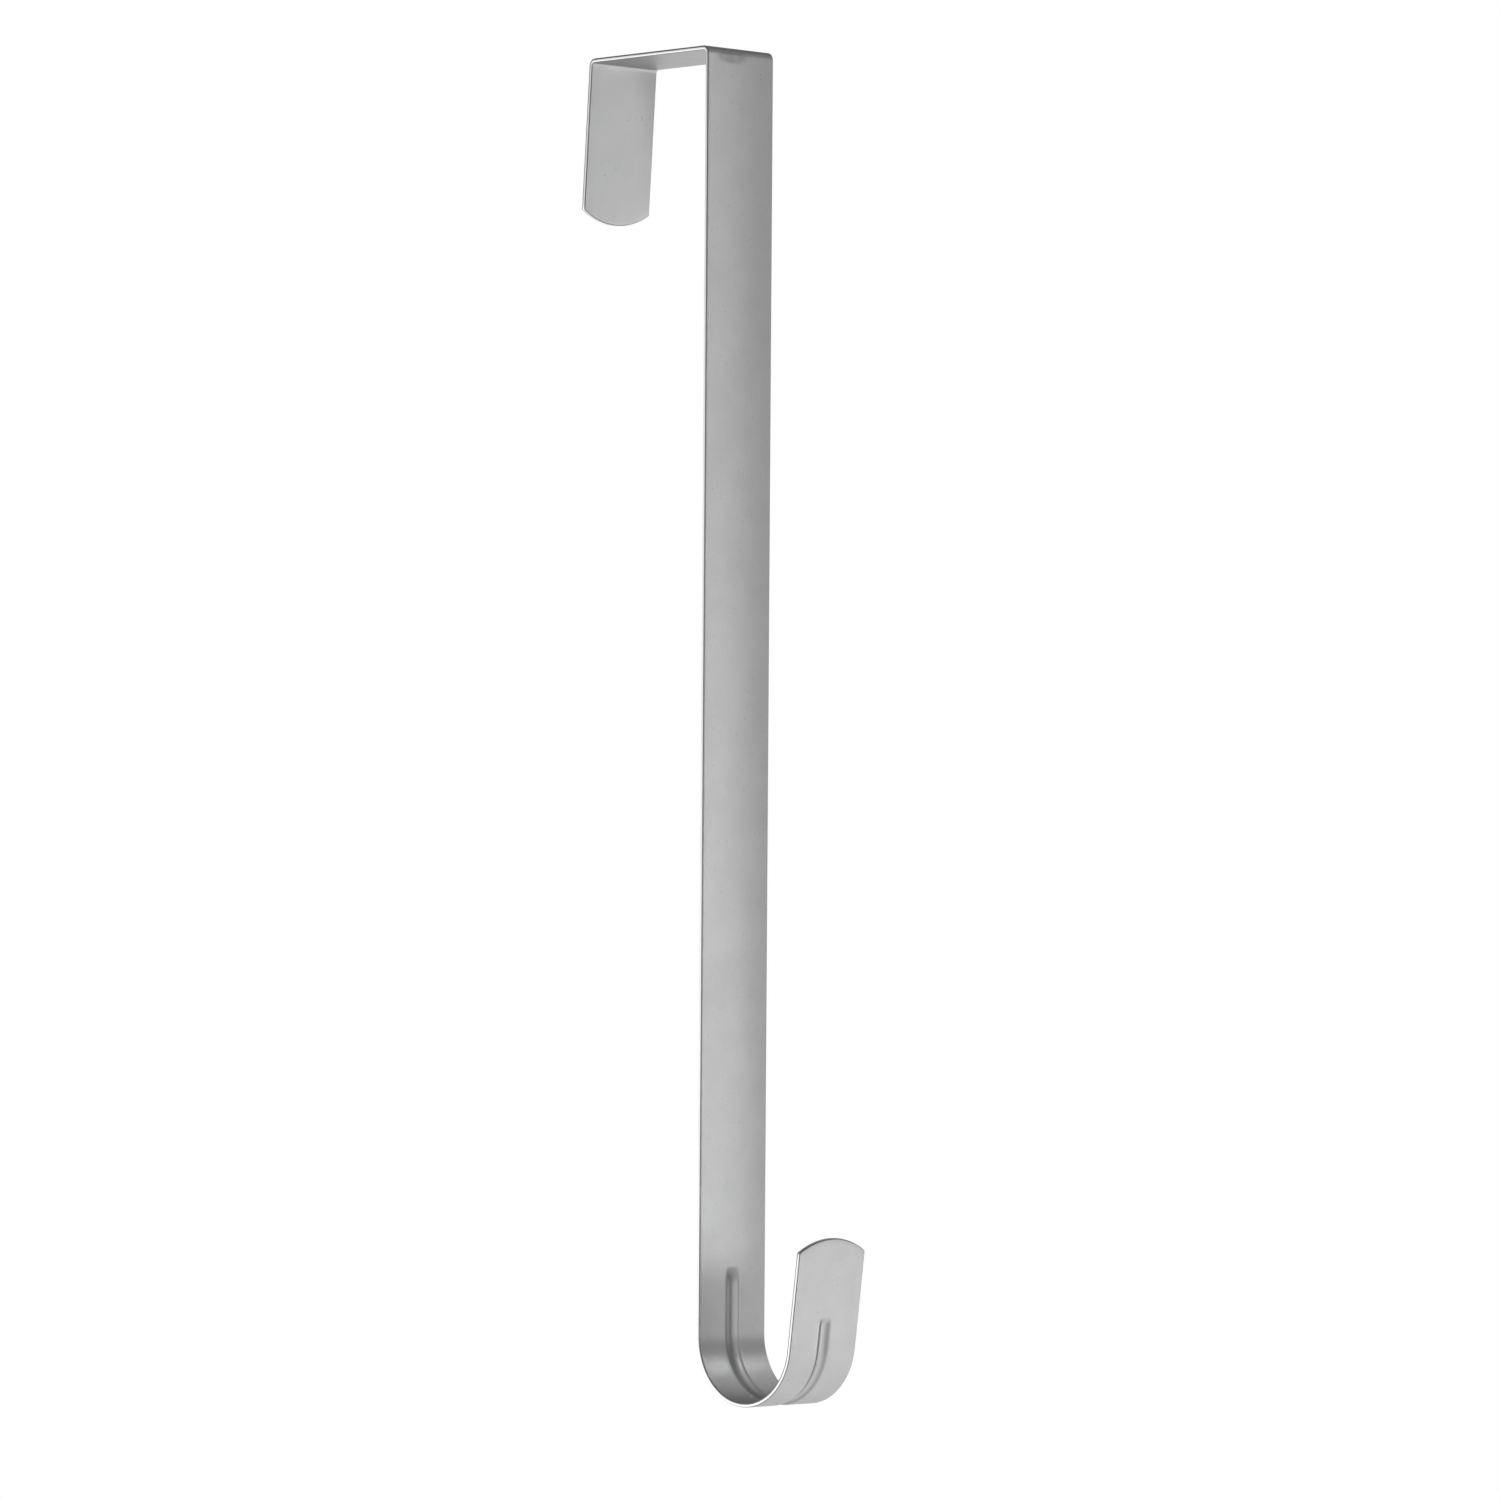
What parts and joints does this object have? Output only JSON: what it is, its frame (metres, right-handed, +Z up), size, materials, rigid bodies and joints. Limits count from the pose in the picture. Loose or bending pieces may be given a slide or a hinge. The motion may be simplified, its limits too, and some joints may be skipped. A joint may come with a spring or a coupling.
{
  "type": "over-door wreath hanger",
  "caption": "Over-door hanger bent from one flat metal strip: a bridge and tongue hook over the door top, and a long stem runs down its face to a ribbed J hook for a wreath.",
  "frame": {"origin": "middle of the bridge's underside, which sits on the top edge of the door", "axes": "+Z up along the stem, +X across the strip, -Y from the door towards the room, where the hook opens"},
  "size_m": [0.0254, 0.0928, 0.381],
  "materials": {
    "strip": "satin silver with a fine even grain"
  },
  "bodies": {
    "root": {"hanger_strip": "strip"}
  },
  "joints": []
}
